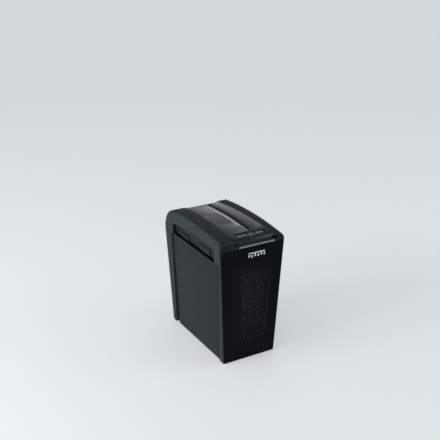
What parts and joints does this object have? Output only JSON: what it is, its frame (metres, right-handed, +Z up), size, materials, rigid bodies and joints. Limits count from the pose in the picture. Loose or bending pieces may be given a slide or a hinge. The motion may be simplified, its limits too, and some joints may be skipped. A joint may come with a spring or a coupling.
{
  "type": "paper shredder",
  "caption": "Slim deskside paper shredder: fixed cutter head on a rear column, pull-out bin with a smoked window, top feed slot and control panel.",
  "frame": {"origin": "on the floor under the middle of the body", "axes": "+Z up, -Y the narrow front with the window, +X to the right seen from the front"},
  "size_m": [0.2107, 0.3487, 0.392],
  "materials": {
    "shell_matte": "fine matte texture",
    "deck_satin": "satin, smoother than the wings",
    "throat_black": "matte black",
    "strip_pale": "printed pale marks on dark",
    "pad_soft": "fine matte texture",
    "fascia_dark": "satin dark",
    "button_grey": "satin grey",
    "indicator_white": "clear white",
    "board_green": "lacquered board",
    "cover_matte": "matte",
    "screw_steel": "zinc plated",
    "foot_rubber": "soft black",
    "zinc_plate": "zinc plated sheet",
    "ground_steel": "ground, lightly oiled",
    "bush_bronze": "sintered bronze",
    "gear_nylon": "natural nylon",
    "motor_iron": "laminated iron",
    "coil_copper": "enamelled copper",
    "works_plastic": "black moulding",
    "bin_matte": "fine matte texture",
    "bezel_satin": "satin",
    "panel_gloss": "high gloss",
    "bar_grey": "satin grey",
    "window_smoke": "smoked, transparent"
  },
  "bodies": {
    "head_and_column": {"head_shell": "shell_matte", "top_deck": "deck_satin", "throat_guide": "throat_black", "guide_strip": "strip_pale", "grip_liner_left": "shell_matte", "grip_liner_right": "shell_matte", "grip_pads": "pad_soft", "control_fascia": "fascia_dark", "indicator_lenses": "indicator_white", "control_board": "board_green", "rear_column": "shell_matte", "rear_cover": "cover_matte", "cover_screws": "screw_steel", "rocker_frame": "throat_black", "cord_gland": "throat_black", "base_plate": "cover_matte", "feet": "foot_rubber", "spine_plate": "zinc_plate", "underpan": "cover_matte", "cutter_frame_front": "zinc_plate", "cutter_frame_rear": "zinc_plate", "tie_rods": "screw_steel", "shaft_bushes": "bush_bronze", "strippers_left": "gear_nylon", "strippers_right": "gear_nylon", "gear_plate": "zinc_plate", "gear_posts": "ground_steel", "motor_stator": "motor_iron", "motor_coils": "coil_copper", "motor_end_caps": "works_plastic", "motor_bolts": "screw_steel", "power_board": "board_green", "paper_sensor": "works_plastic", "interlock_bracket": "zinc_plate", "interlock_switch": "works_plastic"},
    "bin": {"bin_tub": "bin_matte", "front_bezel": "bezel_satin", "gloss_panel": "panel_gloss", "grip_bar": "bar_grey", "window_frame": "bezel_satin", "window_lens": "window_smoke", "bezel_screws": "screw_steel"},
    "button_reverse": {"button_reverse": "button_grey"},
    "button_power": {"button_power": "button_grey"},
    "button_forward": {"button_forward": "button_grey"},
    "cutter_a": {"cutter_shaft_a": "ground_steel", "cutter_discs_a": "ground_steel", "sync_gear_a": "ground_steel", "drive_gear": "ground_steel"},
    "cutter_b": {"cutter_shaft_b": "ground_steel", "cutter_discs_b": "ground_steel", "sync_gear_b": "ground_steel"},
    "second_gear": {"second_gear": "gear_nylon"},
    "first_gear": {"first_gear": "gear_nylon"},
    "motor_rotor": {"motor_shaft": "ground_steel", "motor_armature": "motor_iron", "motor_fan": "gear_nylon", "motor_pinion": "ground_steel"},
    "interlock_lever": {"interlock_lever": "works_plastic"},
    "rocker_switch": {"rocker_switch": "throat_black"}
  },
  "joints": [
    {"name": "bin_slide", "type": "slide", "parent": "head_and_column", "child": "bin", "axis": [0, -1, 0], "range_m": [0, 0.3]},
    {"name": "reverse_press", "type": "slide", "parent": "head_and_column", "child": "button_reverse", "axis": [0, 0.1392, -0.9903], "range_m": [0, 0.0012], "stiffness_N_per_m": 600},
    {"name": "power_press", "type": "slide", "parent": "head_and_column", "child": "button_power", "axis": [0, 0.1392, -0.9903], "range_m": [0, 0.0012], "stiffness_N_per_m": 600},
    {"name": "forward_press", "type": "slide", "parent": "head_and_column", "child": "button_forward", "axis": [0, 0.1392, -0.9903], "range_m": [0, 0.0012], "stiffness_N_per_m": 600},
    {"name": "cutter_a_spin", "type": "hinge", "parent": "head_and_column", "child": "cutter_a", "pos_m": [-0.004, 0, 0.344], "axis": [0, 1, 0], "continuous": true},
    {"name": "cutter_b_spin", "type": "hinge", "parent": "head_and_column", "child": "cutter_b", "pos_m": [0.03, 0, 0.344], "axis": [0, 1, 0], "continuous": true},
    {"name": "second_gear_spin", "type": "hinge", "parent": "head_and_column", "child": "second_gear", "pos_m": [-0.0336, 0, 0.33323], "axis": [0, 1, 0], "continuous": true},
    {"name": "first_gear_spin", "type": "hinge", "parent": "head_and_column", "child": "first_gear", "pos_m": [-0.05587, 0, 0.31933], "axis": [0, 1, 0], "continuous": true},
    {"name": "motor_spin", "type": "hinge", "parent": "head_and_column", "child": "motor_rotor", "pos_m": [-0.06, 0, 0.345], "axis": [0, 1, 0], "continuous": true},
    {"name": "interlock_swing", "type": "hinge", "parent": "head_and_column", "child": "interlock_lever", "pos_m": [0.075, 0.127, 0.318], "axis": [1, 0, 0], "range_deg": [0, 4], "stiffness_Nm_per_rad": 0.02},
    {"name": "rocker_tip", "type": "hinge", "parent": "head_and_column", "child": "rocker_switch", "pos_m": [0.042, 0.16255, 0.04], "axis": [1, 0, 0], "range_deg": [0, 20]}
  ],
  "couplings": [
    {"joint": "cutter_b_spin", "follows": "cutter_a_spin", "ratio": -1},
    {"joint": "second_gear_spin", "follows": "cutter_a_spin", "ratio": -3.6667},
    {"joint": "first_gear_spin", "follows": "cutter_a_spin", "ratio": 13.444},
    {"joint": "motor_spin", "follows": "cutter_a_spin", "ratio": -73.944}
  ]
}
